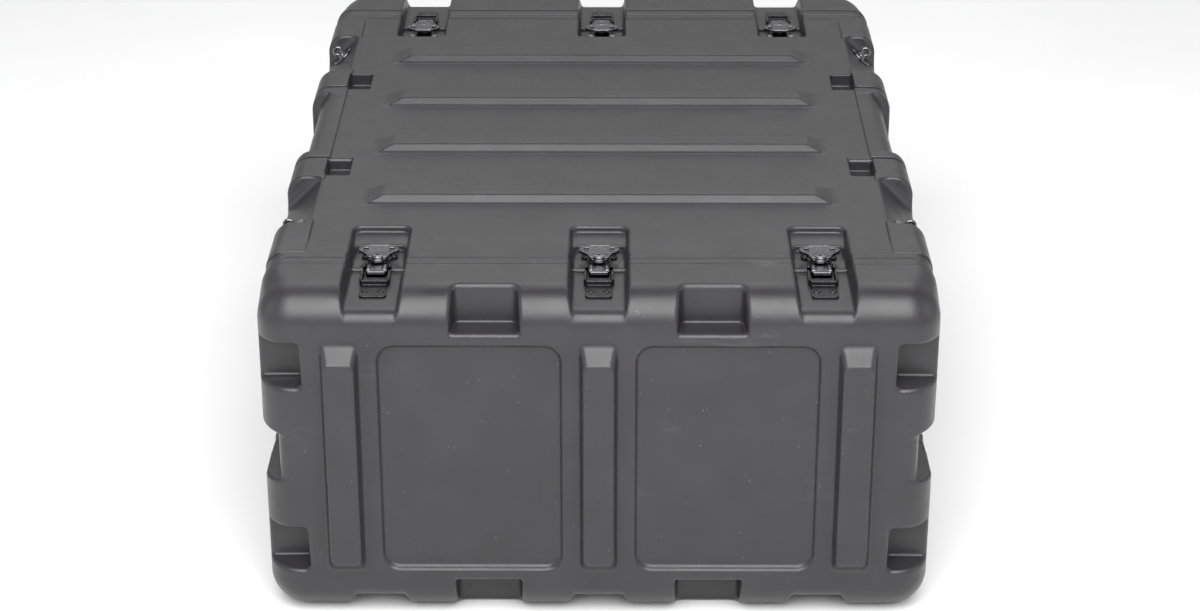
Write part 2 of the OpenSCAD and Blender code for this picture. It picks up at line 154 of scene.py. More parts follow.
def net(solid, xs, ys, zs, mirrored=()):
    """Surface net of the field's zero on a rectilinear grid: vertices, quads and normals. A mirrored axis is (axis, plane)."""
    F = solid.grid(xs, ys, zs)
    S = F < 0
    C = (xs, ys, zs)
    n = F.shape
    cn = tuple(k - 1 for k in n)
    total = np.zeros((3, cn[0] * cn[1] * cn[2]))
    count = np.zeros(cn[0] * cn[1] * cn[2])
    quads = []
    for a in range(3):
        b, c = (a + 1) % 3, (a + 2) % 3
        s0 = [slice(None)] * 3
        s1 = [slice(None)] * 3
        s0[a], s1[a] = slice(0, -1), slice(1, None)
        A, B = S[tuple(s0)], S[tuple(s1)]
        idx = np.nonzero(A != B)
        f0, f1 = F[tuple(s0)][idx], F[tuple(s1)][idx]
        t = f0 / (f0 - f1)
        pos = [C[k][idx[k]].astype(float) for k in range(3)]
        pos[a] = C[a][idx[a]] + t * (C[a][idx[a] + 1] - C[a][idx[a]])
        ib, ic = idx[b], idx[c]
        ring = []
        for db, dc in ((-1, -1), (0, -1), (0, 0), (-1, 0)):
            cell = [None] * 3
            cell[a], cell[b], cell[c] = idx[a], ib + db, ic + dc
            ok = (cell[b] >= 0) & (cell[b] < cn[b]) & (cell[c] >= 0) & (cell[c] < cn[c])
            flat = (cell[0] * cn[1] + cell[1]) * cn[2] + cell[2]
            flat = np.where(ok, flat, -1)
            g = flat[ok]
            for k in range(3):
                total[k] += np.bincount(g, pos[k][ok], minlength=total.shape[1])
            count += np.bincount(g, minlength=count.shape[0])
            ring.append(flat)
        ring = np.stack(ring, 1)
        whole = (ring >= 0).all(1)
        up = A[idx][whole]
        q = ring[whole]
        q = np.where(up[:, None], q, q[:, ::-1])
        quads.append(q)
    quads = np.concatenate(quads)
    used = np.nonzero(count)[0]
    V = (total[:, used] / count[used]).T
    cell = np.stack(np.unravel_index(used, cn), 1)
    ren = np.full(count.shape[0], -1)
    ren[used] = np.arange(len(used))
    quads = ren[quads]
    # onto the true surface, kept inside the vertex's own cell
    low = np.stack([C[k][cell[:, k]] for k in range(3)], 1)
    high = np.stack([C[k][cell[:, k] + 1] for k in range(3)], 1)
    span = high - low
    for _ in range(3):
        f = solid.at(V)
        g = solid.slope(V)
        step = f[:, None] * g / np.maximum((g * g).sum(1), 0.2)[:, None]
        step = np.clip(step, -0.45 * span, 0.45 * span)
        V = V - step
    V = np.clip(V, low - 0.1 * span, high + 0.1 * span)
    for ax, plane in mirrored:
        V[cell[:, ax] == 0, ax] = plane
    N = solid.slope(V)
    for ax, plane in mirrored:
        N[cell[:, ax] == 0, ax] = 0
    N /= np.maximum(np.linalg.norm(N, axis=1), 1e-6)[:, None]
    # how strongly the surface bends outwards, for wear along the edges
    e = 1.2
    bend = (solid.at(V + e * _side(N, 0)) + solid.at(V - e * _side(N, 0)) + solid.at(V + e * _side(N, 1)) + solid.at(V - e * _side(N, 1))) / (2 * e)
    for ax, plane in mirrored:
        V, quads, N, bend = _mirror(V, quads, N, bend, ax, plane)
    return V, quads, N, bend


def _side(N, k):
    ref = np.where(np.abs(N[:, 2:3]) < 0.9, np.array([[0.0, 0, 1]]), np.array([[1.0, 0, 0]]))
    t = np.cross(N, ref)
    t /= np.maximum(np.linalg.norm(t, axis=1), 1e-9)[:, None]
    return t if k == 0 else np.cross(N, t)


def _mirror(V, Q, N, bend, ax, plane):
    on = np.abs(V[:, ax] - plane) < 1e-7
    keep = np.nonzero(~on)[0]
    ren = np.arange(len(V))
    ren[keep] = len(V) + np.arange(len(keep))
    V2, N2 = V[keep].copy(), N[keep].copy()
    V2[:, ax] = 2 * plane - V2[:, ax]
    N2[:, ax] *= -1
    return np.concatenate([V, V2]), np.concatenate([Q, ren[Q][:, ::-1]]), np.concatenate([N, N2]), np.concatenate([bend, bend[keep]])


def turned(part):
    """The same part at the other end: half a turn about Z."""
    V, Q, N, bend = part
    k = np.array([-1.0, -1.0, 1.0])
    return V * k, Q, N * k, bend


def placed(part, M):
    """The part moved by a 4x4 matrix in millimetres."""
    V, Q, N, bend = part
    R = np.array(M)[:3, :3]
    return V @ R.T + np.array(M)[:3, 3], Q, N @ R.T, bend


def joined(parts):
    V, Q, N, E, k = [], [], [], [], 0
    for v, q, n, e in parts:
        V.append(v); Q.append(q + k); N.append(n); E.append(e)
        k += len(v)
    return np.concatenate(V), np.concatenate(Q), np.concatenate(N), np.concatenate(E)


def piece(name, part, material, body, replaces=()):
    V, Q, N, bend = part
    me = bpy.data.meshes.new(name)
    me.vertices.add(len(V))
    me.vertices.foreach_set("co", (V * 0.001).astype(np.float32).ravel())
    me.loops.add(len(Q) * 4)
    me.loops.foreach_set("vertex_index", Q.astype(np.int32).ravel())
    me.polygons.add(len(Q))
    me.polygons.foreach_set("loop_start", (np.arange(len(Q)) * 4).astype(np.int32))
    me.polygons.foreach_set("use_smooth", np.ones(len(Q), bool))
    me.update(calc_edges=True)
    me.validate()
    a = me.attributes.new("edge", "FLOAT", "POINT")
    a.data.foreach_set("value", bend.astype(np.float32))
    if len(me.vertices) == len(N):
        me.normals_split_custom_set_from_vertices([tuple(v) for v in N])
    me.materials.append(material)
    o = bpy.data.objects.new(name, me)
    scene.collection.objects.link(o)
    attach(o, body)
    if replaces:
        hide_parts(*replaces)
    return o


# ------------------------------------------------------------------ the case's dimensions, as in the CAD
HW, H, ZC, ZT = 311.0, 335.0, 167.5, 332.0
YJ, YS, YF = 352.0, 338.0, 440.0


def channel(v, h, ya, end=True, g=0.0):
    """A latch channel: v across it, ya the distance from the middle of the case, h the height with the panel at 332."""
    side = (np.abs(v) - 24.5 - 3 * (h - 316) / 16) / 1.0174 - g
    if not end:
        floor = rmax(-rmax(h - 316 + g, ya - 441.2, 16.0), 294 - h, 1.0)
        return rmax(side, floor, 3.0)
    plan = ((275.5 + (332 - h) * 0.12) - ya) / 1.007 - g
    shelf = (325 - (ya - 278) * 0.175 - h) / 1.0152
    low = rmax(rmax(side + 1.2, 298 - ya - g, 6.0), 316 - h - g, 2.2)
    high = rmax(rmax(side, plan, 8.0), shelf, 1.8)
    return rmin(high, low, 1.4)


def each_channel(solid, ya, ylim, r, end=True, grow=0.0):
    for x0 in (0.0, 206.0):
        xb = (x0 - 30, x0 + 30)
        solid.cut((xb, ylim, (312, 350)), lambda x, y, z, x0=x0: channel(np.abs(x) - x0, z, ya(y), end, grow), r)
        solid.cut((xb, ylim, (-15, 23)), lambda x, y, z, x0=x0: channel(np.abs(x) - x0, 335 - z, ya(y), end, grow), r)
    solid.cut(((291, 330), ylim, (138, 197)), lambda x, y, z: channel(z - ZC, np.abs(x) + 21, ya(y), end, grow), r)


def rib(x, yl, h, g):
    """A stacking rib on the panel: h is the height above the panel, g the growth all round."""
    top = h - 8 - g
    slope = (np.abs(yl) + h - 20 - 2 * g) / 1.41421
    ramp = (np.abs(x) - 229 - g + (h - g) * 19 / 8) / 2.5767
    return rmax(rmax(top, ramp, 1.0), slope, 1.1)


def body_solid():
    ab = np.abs

    def base(x, y, z):
        s = box2(x, z - ZC, HW, H / 2, 22.0)
        drop = 1.6 * smooth(ab(y), 282, 336)
        s = rmax(s, (z - H + drop + 0.05 * np.maximum(ab(x) - 273, 0)) , 1.0)
        s = rmax(s, -rmax(ab(x) - 273, ZT - z, 1.6), 1.4)
        s = rmax(s, -rmax(ab(x) - 273, z - 3, 1.6), 1.4)
        return rmax(s, ab(y) - YS, 1.2)
    b = Solid(base)
    for k in (-1.5, -0.5, 0.5, 1.5):
        c = k * 135
        b.add(((-1, 232), (c - 22, c + 22), (330, 341)), lambda x, y, z, c=c: rmax(rib(x, y - c, z - 332, 0), 322 - z, 1), 1.8)
        b.cut(((-1, 232), (c - 22, c + 22), (0, 13)), lambda x, y, z, c=c: rib(x, y - c, z - 3, 1), 2.0)
    for s in (1, -1):
        ya = lambda y, s=s: s * y
        yl = (272, 345) if s > 0 else (-345, -272)
        each_channel(b, ya, yl, 2.6)
        yl = (155, 271) if s > 0 else (-271, -155)
        b.cut(((270, 330), yl, (295, 345)), lambda x, y, z, s=s: rmax(rmax(156 - s * y, s * y - 270, 0.5), (608 - ab(x) - z) / 1.41421, 9.0), 3.4)
        yl = (162, 264) if s > 0 else (-264, -162)
        b.cut(((284, 330), yl, (124, 273)), lambda x, y, z, s=s: rmax(box2(s * y - 213, z - 198.5, 50, 73.5, 9), 285 - ab(x), 4.0), 3.0)
        yl = (99, 149) if s > 0 else (-149, -99)
        b.cut(((249, 275), yl, (316, 345)), lambda x, y, z, s=s: rmax(box2(ab(x) - 262, s * y - 124, 12, 23, 3), 318 - z, 1.6), 1.2)
        b.cut(((249, 275), yl, (-10, 19)), lambda x, y, z, s=s: rmax(box2(ab(x) - 262, s * y - 124, 12, 23, 3), z - 17, 1.6), 1.2)
        yl = (99, 107) if s > 0 else (-107, -99)
        b.cut(((248, 330), yl, None), lambda x, y, z, s=s: rmax(rmax(ab(s * y - 103) - 3, -box2(x, z - ZC, 308, 162, 19), 1.2), 250 - ab(x), 1.2), 1.0)
    b.cut(((272, 330), (-86, 86), None), lambda x, y, z: rmax(rmax(ab(y) - 85, -box2(x, z - ZC, 301, H / 2, 22), 4.0), 273 - ab(x), 3.0), 2.6)

    def hollow(x, y, z):
        s = box2(x, z - ZC, 305, 158.5, 16)
        yy = ab(y)
        for x0 in (0.0, 206.0):
            for h in (z, 335 - z):
                s = rmax(s, -rmax(rmax(ab(ab(x) - x0) - 33.0, 310 - h, 2), 268 - yy, 2), 3)
        s = rmax(s, -rmax(rmax(ab(z - ZC) - 33.0, 289 - ab(x), 2), 268 - yy, 2), 3)
        s = rmax(s, -rmax(slab(yy, 150, 276), (599 - ab(x) - z) / 1.41421, 2), 3)
        s = rmax(s, -rmax(rmax(slab(yy, 157, 269), slab(z, 119, 278), 3), 279 - ab(x), 2), 3)
        s = rmax(s, -rmax(yy - 91, 295 - ab(x), 3), 3)
        for h in (z, 335 - z):
            s = rmax(s, -rmax(rmax(slab(yy, 95, 153), slab(ab(x), 244, 280), 2), 312 - h, 2), 3)
        for k in (67.5, 202.5):
            s = rmax(s, -rmax(rmax(ab(yy - k) - 26, ab(x) - 235, 2), z - 18, 2), 3)
        return s
    b.cut((None, None, None), hollow, 0.8)
    return b


def body_part():
    b = body_solid()
    xs = lines(0, 314, [(19, 36, 2.0), (171, 184, 2.0), (204, 240, 2.2), (245, 311, 2.2)], 14, True)
    zs = lines(-3, 343, [(0, 24, 1.9), (117, 129, 2.4), (133, 147, 2.2), (188, 202, 2.2), (267, 279, 2.4), (296, 341, 1.8)], 14)
    zy = []
    for s in (1, -1):
        for a, c, st in ((44, 60, 2.0), (75, 93, 2.0), (97, 109, 1.2), (142, 170, 2.2), (176, 194, 2.0), (211, 230, 2.0), (257, 303, 1.9), (332, 338, 1.6)):
            zy.append((min(s * a, s * c), max(s * a, s * c), st))
    ys = lines(-341, 341, zy, 12)
    return net(b, xs, ys, zs, [(0, 0.0)])


def lid_solid():
    """The front lid, drawn with Y positive towards its flat face."""
    ab = np.abs

    def section(x, y, z, g=0.0):
        rc = 22 + 13 * smooth(y, 366, 414) - g
        qu, qv = ab(x) - (HW - g) + rc, ab(z - ZC) - (166 - g) + rc
        return np.minimum(np.maximum(qu, qv), 0) + np.sqrt(np.maximum(qu, 0) ** 2 + np.maximum(qv, 0) ** 2) - rc

    def base(x, y, z):
        q = section(x, y, z)
        s = rmax(q + 0.6 * (1 - smooth(y, 362.5, 364)), -rmax(ab(y - 364.8) - 1.5, -q - 2.6, 0.2), 0.7)
        return rmax(rmax(s, y - YF, 34.0), 352.3 - y, 1.3)
    b = Solid(base)
    # bumpers
    for x0 in (0.0, 235.0):
        b.add(((x0 - 18, x0 + 18), (436, 455), (50, 285)), lambda x, y, z, x0=x0: rmax(
            rmax(rmax((ab(ab(x) - x0) - 17.25 + 3.2 * (y - YF) / 14) / 1.026, np.maximum(51 + (y - YF) - z, z - 284 + (y - YF)) / 1.41421, 5.5), y - YF - 14, 1.4), 430 - y, 1), 3.2)
    # flat panels
    b.cut(((33, 203), (434, 450), (50, 285)), lambda x, y, z: rmax(box2(ab(x) - 117.6, z - ZC, 84.5 + 0.5 * (y - YF), 116.5 + 0.5 * (y - YF), 16), 434.5 - y, 2.6), 2.4)
    # finger pockets
    for sgn in (1, -1):
        zl = (294, 345) if sgn > 0 else (-10, 41)
        b.cut(((70, 136), (412, 450), zl), lambda x, y, z, k=sgn: rmax(rmax(ab(ab(x) - 103) - 31.5 + 0.1 * (YF - y), 413 - y, 6.0), 128 - k * (z - ZC), 2.6), 4.4)
        zl = (239, 286) if sgn > 0 else (49, 96)
        b.cut(((270, 330), (412, 450), zl), lambda x, y, z, k=sgn: rmax(rmax(ab(k * (z - ZC) - 95) - 22 + 0.06 * (YF - y), 413 - y, 2.6), 271 - ab(x), 5.0), 4.4)
    each_channel(b, lambda y: y, (340, 460), 2.6, end=False)

    def hollow(x, y, z):
        s = rmax(section(x, y, z, 6.0), y - 434, 28)
        s = rmax(s, section(x, y + 12, z, 6.0) + 3.0, 2.0)
        for x0 in (0.0, 206.0):
            for h in (z, 335 - z):
                s = rmax(s, -rmax(ab(ab(x) - x0) - 33.0, 310 - h, 2), 3)
        s = rmax(s, -rmax(ab(z - ZC) - 33.0, 289 - ab(x), 2), 3)
        for k in (1, -1):
            s = rmax(s, -rmax(rmax(ab(ab(x) - 103) - 37.5, 407 - y, 5), 122 - k * (z - ZC), 3), 3)
            s = rmax(s, -rmax(rmax(ab(k * (z - ZC) - 95) - 28, 407 - y, 5), 265 - ab(x), 3), 3)
        s = rmax(s, -rmax(rmax(ab(ab(x) - 117.6) - 91, ab(z - ZC) - 123, 10), 428.5 - y, 2), 3)
        return s
    b.cut((None, None, None), hollow, 1.0)
    return b


def lid_part():
    b = lid_solid()
    xs = lines(0, 314, [(10, 50, 1.9), (67, 78, 1.9), (128, 138, 1.9), (171, 186, 1.9), (188, 205, 2.3), (214, 256, 1.9), (263, 311, 2.1)], 13, True)
    zs = lines(ZC, 337, [(190, 203, 2.0), (234, 248, 2.0), (264, 334, 2.0)], 13, True)
    ys = lines(349, 457, [(351, 354, 1.2), (361, 368, 0.7), (404, 442, 1.8), (450, 455, 1.6)], 9)
    return net(b, xs, ys, zs, [(0, 0.0), (2, ZC)])


def rim_solid():
    """The front rim, drawn with Y positive towards the lid."""
    ab = np.abs

    def shape(x, y, z, g):
        s = box2(x, z - ZC, HW - 0.8 - g, 165.2 - g, 21.2 - g)
        for x0 in (0.0, 206.0):
            for h in (z, 335 - z):
                s = rmax(s, -channel(ab(x) - x0, h, 352 + 0 * y, True, g + 0.5), 2.4)
        return rmax(s, -channel(z - ZC, ab(x) + 21, 352 + 0 * y, True, g + 0.5), 2.4)

    def inside(x, y, z):
        s = box2(x, z - ZC, 305, 158.5, 16)
        for x0 in (0.0, 206.0):
            for h in (z, 335 - z):
                s = rmax(s, -rmax(ab(ab(x) - x0) - 33.0, 310 - h, 2), 3)
        return rmax(s, -rmax(ab(z - ZC) - 33.0, 289 - ab(x), 2), 3)

    def base(x, y, z):
        s0, s1 = shape(x, y, z, 0.0), shape(x, y, z, 4.0)
        hole = inside(x, y, z)
        band = rmin(rmax(s0, slab(y, 338.4, 350.4), 0.8), rmax(s1, slab(y, 338.0, 352.0), 0.3), 0.3)
        band = rmax(band, -hole, 0.6)
        ring = rmax(rmax(box2(x, z - ZC, 281, 134, 12), -box2(x, z - ZC, 278, 131, 9), 0.6), slab(y, 338, 358), 1.1)
        web = rmax(rmax(hole - 1.0, -box2(x, z - ZC, 278, 131, 9), 0.6), slab(y, 338, 341), 0.8)
        return rmin(band, rmin(ring, web, 1.0), 0.8)
    return Solid(base)


def rim_part():
    b = rim_solid()
    xs = lines(0, 313, [(21, 36, 1.9), (171, 184, 1.9), (228, 242, 1.9), (262, 311, 1.6)], 12, True)
    zs = lines(ZC, 336, [(190, 203, 1.9), (284, 334, 1.6)], 12, True)
    ys = lines(335.4, 361, [(336, 342, 0.7), (342, 348, 2.0), (348.6, 353, 0.6), (356, 359, 0.8)], 3)
    return net(b, xs, ys, zs, [(0, 0.0), (2, ZC)])


# ------------------------------------------------------------------ small parts, in the latch's own frame: x across, y inwards, z out of the floor
def cyl(x, y, cx, cy, r):
    return np.sqrt((x - cx) ** 2 + (y - cy) ** 2) - r


def wing_part():
    ab = np.abs

    def base(x, y, z):
        ax = ab(x)
        up = rmax(rmax(y - 24.2, ((ax - 9.5) * 7.7 + (y - 24.2) * 9.5) / 12.23, 1.5), rmax(ax - 19, ((ax - 10.5) * 9 - (y - 2) * 8.5) / 12.38, 2.0), 1.5)
        up = rmax(up, -5 - y, 1.0)
        low = rmax(rmax(ax - 9.5 - (y + 5) / 7, y - 9, 1.0), -5 - y, 2.5)
        out = rmin(up, low, 2.5)
        plate = rmax(rmax(out, z - 11.3, 0.55), 9.1 - z, 0.3)
        # raised border round the wing, as pressed steel has
        rim = rmax(rmax(out + 0.1, -(out + 1.7), 0.4), slab(z, 10.5, 11.75), 0.35)
        plate = rmin(plate, rim, 0.4)
        hub = rmax(cyl(x, y, 0, 0, 8.4), slab(z, 6.95, 9.3), 0.4)
        dome = rmax(cyl(x, y, 0, 0, 7.4), z - 12.35 + 0.012 * (x * x + y * y), 0.6)
        dome = rmax(dome, 9 - z, 0.3)
        s = rmin(rmin(plate, hub, 0.5), dome, 0.5)
        rr = np.sqrt(x * x + y * y)
        s = rmax(s, -rmax(ab(rr - 6.0) - 0.38, 11.45 - z, 0.1), 0.25)
        s = rmax(s, -rmax(cyl(x, y, 0, 0, 3.06), z - 11.2, 0.1), 0.1)
        s = rmax(s, -rmax(rmax(ax - 3.3, ab(y) - 0.85, 0.3), 11.2 - z, 0.2), 0.25)
        s = rmax(s, -rmax(cyl(x, y, 0, 0, 1.7), 11.3 - z, 0.2), 0.25)
        return rmax(s, -rmax(ax * 0 + box2(ax - 12, y - 13.3, 2.2, 4.7, 0.8), z - 20, 0.2), 0.45)
    b = Solid(base)
    return net(b, lines(0, 20.2, [(0, 20, 0.62)], 1, True), lines(-9.6, 25.4, [(-9, 25, 0.62)], 1), lines(6.2, 13.2, [(6.5, 13, 0.42)], 1), [(0, 0.0)])


def base_part():
    ab = np.abs

    def base(x, y, z):
        ax = ab(x)
        out = rmin(rmax(rmax(ax - 11.2, -12 - y, 2.0), y - 22, 2.0), rmax(rmax(ax - 16.8, 15.5 - y, 3.0), y - 29, 3.5), 2.5)
        s = rmax(rmax(out, z - 2.4, 0.6), -z, 0.2)
        collar = rmax(rmax(cyl(x, y, 0, 0, 9.3), z - 6.5, 0.8), -4.3 - y, 0.5)
        pin = rmax(cyl(x, y, 0, 0, 3.0), z - 10.9, 0.3)
        cheek = rmax(rmax(ab(ax - 11.8) - 1.3, ab(y + 10.5) - 3.5, 0.8), slab(z, 0, 6.6), 0.8)
        s = rmin(rmin(s, rmax(collar, -z, 0.1), 0.6), rmin(rmax(pin, -z, 0.1), cheek, 0.5), 0.4)
        return rmax(s, -rmax(cyl(ax, y, 12, 22, 2.1), 20 - z * 0 - 40, 0.1), 0.2)
    b = Solid(base)
    return net(b, lines(0, 18, [(0, 18, 0.8)], 1, True), lines(-15.2, 30.4, [(-15, 30, 0.85)], 1), lines(-0.7, 11.6, [(-0.5, 11, 0.6)], 1), [(0, 0.0)])


def claw_part():
    ab = np.abs

    def base(x, y, z):
        ax = ab(x)
        s = rmax(rmax(ax - 9.9, slab(y, -24.5, -4.7), 1.2), slab(z, 3.1, 5.6), 0.7)
        hook = rmax(rmax(ax - 8.5, slab(y, -27.1, -23.6), 0.8), slab(z, 3.1, 6.4), 0.7)
        rail = rmax(rmax(ab(ax - 7.4) - 1.6, slab(y, -22, -8.8), 0.8), slab(z, 4.5, 6.5), 0.6)
        return rmin(rmin(s, hook, 0.8), rail, 0.5)
    b = Solid(base)
    return net(b, lines(0, 10.8, [(0, 11, 0.6)], 1, True), lines(-28, -4, [(-28, -4, 0.7)], 1), lines(2.4, 7.1, [(2, 7, 0.5)], 1), [(0, 0.0)])


def keeper_part():
    ab = np.abs

    def base(x, y, z):
        ax = ab(x)
        s = rmax(rmax(rmax(ax - 12.4, -72 - y, 3.5), y + 21.1, 0.6), slab(z, 0.0, 2.0), 0.6)
        # the plate narrows behind its cheeks
        s = rmax(s, -rmax(rmax(ax * -1 + 11.2, slab(y, -56, -46), 1.0), -1 - z, 0.5), 0.8)
        cheek = rmax(rmax(ab(ax - 12.6) - 1.35, slab(y, -44, -22), 1.6), slab(z, 0.0, 6.6), 0.8)
        lip = rmax(rmax(ax - 12.0, slab(y, -47, -44.2), 0.5), slab(z, 0.5, 6.2), 0.7)
        s = rmin(rmin(s, cheek, 0.6), lip, 0.7)
        rr = np.sqrt((ax - 7.5) ** 2 + (y + 60) ** 2)
        riv = rmax(rr - 3.4, z - 3.3 + 0.05 * rr * rr, 0.3)
        riv = rmax(riv, 0.5 - z, 0.1)
        riv = rmax(riv, -rmax(rr - 1.2, 2.4 - z, 0.2), 0.3)
        return rmin(s, riv, 0.25)
    b = Solid(base)
    return net(b, lines(0, 15, [(2, 15, 0.75)], 1.2, True), lines(-73.2, -20, [(-73.2, -55, 0.8), (-49, -42, 0.8), (-24, -20, 0.8)], 2.2), lines(-0.7, 7.3, [(-0.5, 7, 0.6)], 1), [(0, 0.0)])


def latch_matrix(i, e):
    """Place i (0-2 top, 3-5 bottom, 6-7 sides) of end e, for a part drawn in the latch's own frame."""
    T, R = Matrix.Translation, Matrix.Rotation
    L = T((0, -334.0, 316.0))
    if i < 3:
        m = T(((i - 1) * 206.0, 0, 0)) @ L
    elif i < 6:
        m = T(((i - 4) * 206.0, 0, ZC)) @ R(math.pi, 4, "Y") @ T((0, 0, -ZC)) @ L
    else:
        m = T((0, 0, ZC)) @ R(math.radians(-90 if i == 6 else 90), 4, "Y") @ T((0, 0, HW - ZT)) @ L
    return R(math.pi * e, 4, "Z") @ m


PLACE = {"top_left": (0, 2), "top_centre": (1, 1), "top_right": (2, 0), "bottom_left": (3, 5), "bottom_centre": (4, 4), "bottom_right": (5, 3), "side_left": (6, 7), "side_right": (7, 6)}


def eye_part():
    """A forged eye with a collar on a round foot held by two rivets, drawn standing on z = 0."""
    ab = np.abs

    def base(x, y, z):
        foot = rmax(cyl(x, y, 0, 0, 12.9), slab(z, 0.0, 2.4), 0.8)
        neck = rmax(cyl(x, y, 0, 0, 4.1), slab(z, 1.5, 4.4), 0.6)
        q = np.sqrt(x * x + (z - 9) ** 2) - 4.3
        ring = np.sqrt(q * q + y * y) - 1.88
        riv = rmax(np.sqrt(x * x + (ab(y) - 8.8) ** 2) - 2.3, z - 3.6, 0.7)
        riv = rmax(riv, 1 - z, 0.1)
        return rmin(rmin(foot, neck, 1.0), rmin(ring, riv, 0.2), 1.0)
    b = Solid(base)
    return net(b, lines(0, 13.8, [(0, 13, 0.6)], 1, True), lines(-13.8, 13.8, [(-13, 13, 0.6)], 1), lines(-0.7, 15.8, [(-0.5, 15.5, 0.55)], 1), [(0, 0.0)])


def handle_part():
    """A sprung-steel bail with a moulded grip, drawn hanging from its pin along Y at the origin."""
    ab = np.abs

    def cap(y, z, x, a, b, r):
        py, pz = y - a[0], z - a[1]
        dy, dz = b[0] - a[0], b[1] - a[1]
        t = np.clip((py * dy + pz * dz) / (dy * dy + dz * dz), 0, 1)
        return np.sqrt((py - t * dy) ** 2 + (pz - t * dz) ** 2 + x * x) - r

    def base(x, y, z):
        ay = ab(y)
        pin = rmax(np.sqrt(x * x + z * z) - 3.9, ay - 41.8, 0.8)
        arm = rmin(cap(ay, z, x, (30, 0), (30, -76), 3.9), cap(ay, z, x, (30, -76), (22, -84), 3.9), 1.5)
        rod = cap(ay, z, x, (22, -84), (0, -84), 3.9)
        r = np.sqrt(x * x + (z + 84) ** 2)
        ridge = 0.45 * np.cos(y * 2 * math.pi / 5.2) * (1 - smooth(ay, 18, 22))
        grip = rmax(r - 8.9 - ridge, ay - 25.9, 2.6)
        return rmin(rmin(pin, arm, 1.0), rmin(rod, grip, 0.8), 0.6)
    b = Solid(base)
    return net(b, lines(0, 10.2, [(0, 10, 0.9)], 1.2, True), lines(-42.8, 42.8, [(-27, 27, 0.85), (-42.5, -39, 0.9), (39, 42.5, 0.9)], 1.4), lines(-94.6, 5, [(-94, -74, 0.95), (-5, 5, 0.9)], 2.6), [(0, 0.0)])


# ------------------------------------------------------------------ materials
def material(name):
    m = bpy.data.materials.new(name)
    m.use_nodes = True
    nt = m.node_tree
    for n in list(nt.nodes):
        nt.nodes.remove(n)
    out = nt.nodes.new("ShaderNodeOutputMaterial")
    sh = nt.nodes.new("ShaderNodeBsdfPrincipled")
    nt.links.new(sh.outputs[0], out.inputs[0])
    return m, nt, sh


def node(nt, kind, **kw):
    n = nt.nodes.new(kind)
    for k, v in kw.items():
        if k.startswith("_"):
            setattr(n, k[1:], v)
        else:
            n.inputs[k.replace("__", " ")].default_value = v
    return n


def ramp(nt, src, stops):
    r = nt.nodes.new("ShaderNodeValToRGB")
    nt.links.new(src, r.inputs[0])
    e = r.color_ramp.elements
    while len(e) < len(stops):
        e.new(0.5)
    for el, (p, c) in zip(e, stops):
        el.position = p
        el.color = c if len(c) == 4 else (*c, 1)
    return r.outputs[0]


def mixc(nt, fac, a, b, mode="MIX"):
    m = nt.nodes.new("ShaderNodeMix")
    m.data_type = "RGBA"
    m.blend_type = mode
    for i, v in ((0, fac), (6, a), (7, b)):
        if isinstance(v, (int, float)):
            m.inputs[i].default_value = v
        elif isinstance(v, tuple):
            m.inputs[i].default_value = v if len(v) == 4 else (*v, 1)
        else:
            nt.links.new(v, m.inputs[i])
    return m.outputs[2]


def calc(nt, op, a, b=None, c=None, clamp=False):
    m = nt.nodes.new("ShaderNodeMath")
    m.operation = op
    m.use_clamp = clamp
    for i, v in enumerate((a, b, c)):
        if v is None:
            continue
        if isinstance(v, (int, float)):
            m.inputs[i].default_value = v
        else:
            nt.links.new(v, m.inputs[i])
    return m.outputs[0]


def remap(nt, src, a, b, c, d):
    m = nt.nodes.new("ShaderNodeMapRange")
    nt.links.new(src, m.inputs[0])
    for i, v in enumerate((a, b, c, d)):
        m.inputs[i + 1].default_value = v
    return m.outputs[0]


def noise(nt, co, scale, detail=3.0, rough=0.5, dist=0.0, stretch=None):
    if stretch:
        mp = nt.nodes.new("ShaderNodeMapping")
        mp.inputs["Scale"].default_value = stretch
        nt.links.new(co, mp.inputs[0])
        co = mp.outputs[0]
    n = nt.nodes.new("ShaderNodeTexNoise")
    nt.links.new(co, n.inputs["Vector"])
    n.inputs["Scale"].default_value = scale
    n.inputs["Detail"].default_value = detail
    n.inputs["Roughness"].default_value = rough
    n.inputs["Distortion"].default_value = dist
    return n.outputs[0]


def voronoi(nt, co, scale, feature="F1"):
    n = nt.nodes.new("ShaderNodeTexVoronoi")
    n.feature = feature
    nt.links.new(co, n.inputs["Vector"])
    n.inputs["Scale"].default_value = scale
    return n


def bump(nt, height, strength, distance, normal=None):
    b = nt.nodes.new("ShaderNodeBump")
    b.inputs["Strength"].default_value = strength
    b.inputs["Distance"].default_value = distance
    nt.links.new(height, b.inputs["Height"])
    if normal is not None:
        nt.links.new(normal, b.inputs["Normal"])
    return b.outputs[0]


def coords(nt):
    t = nt.nodes.new("ShaderNodeTexCoord")
    return t.outputs["Object"]


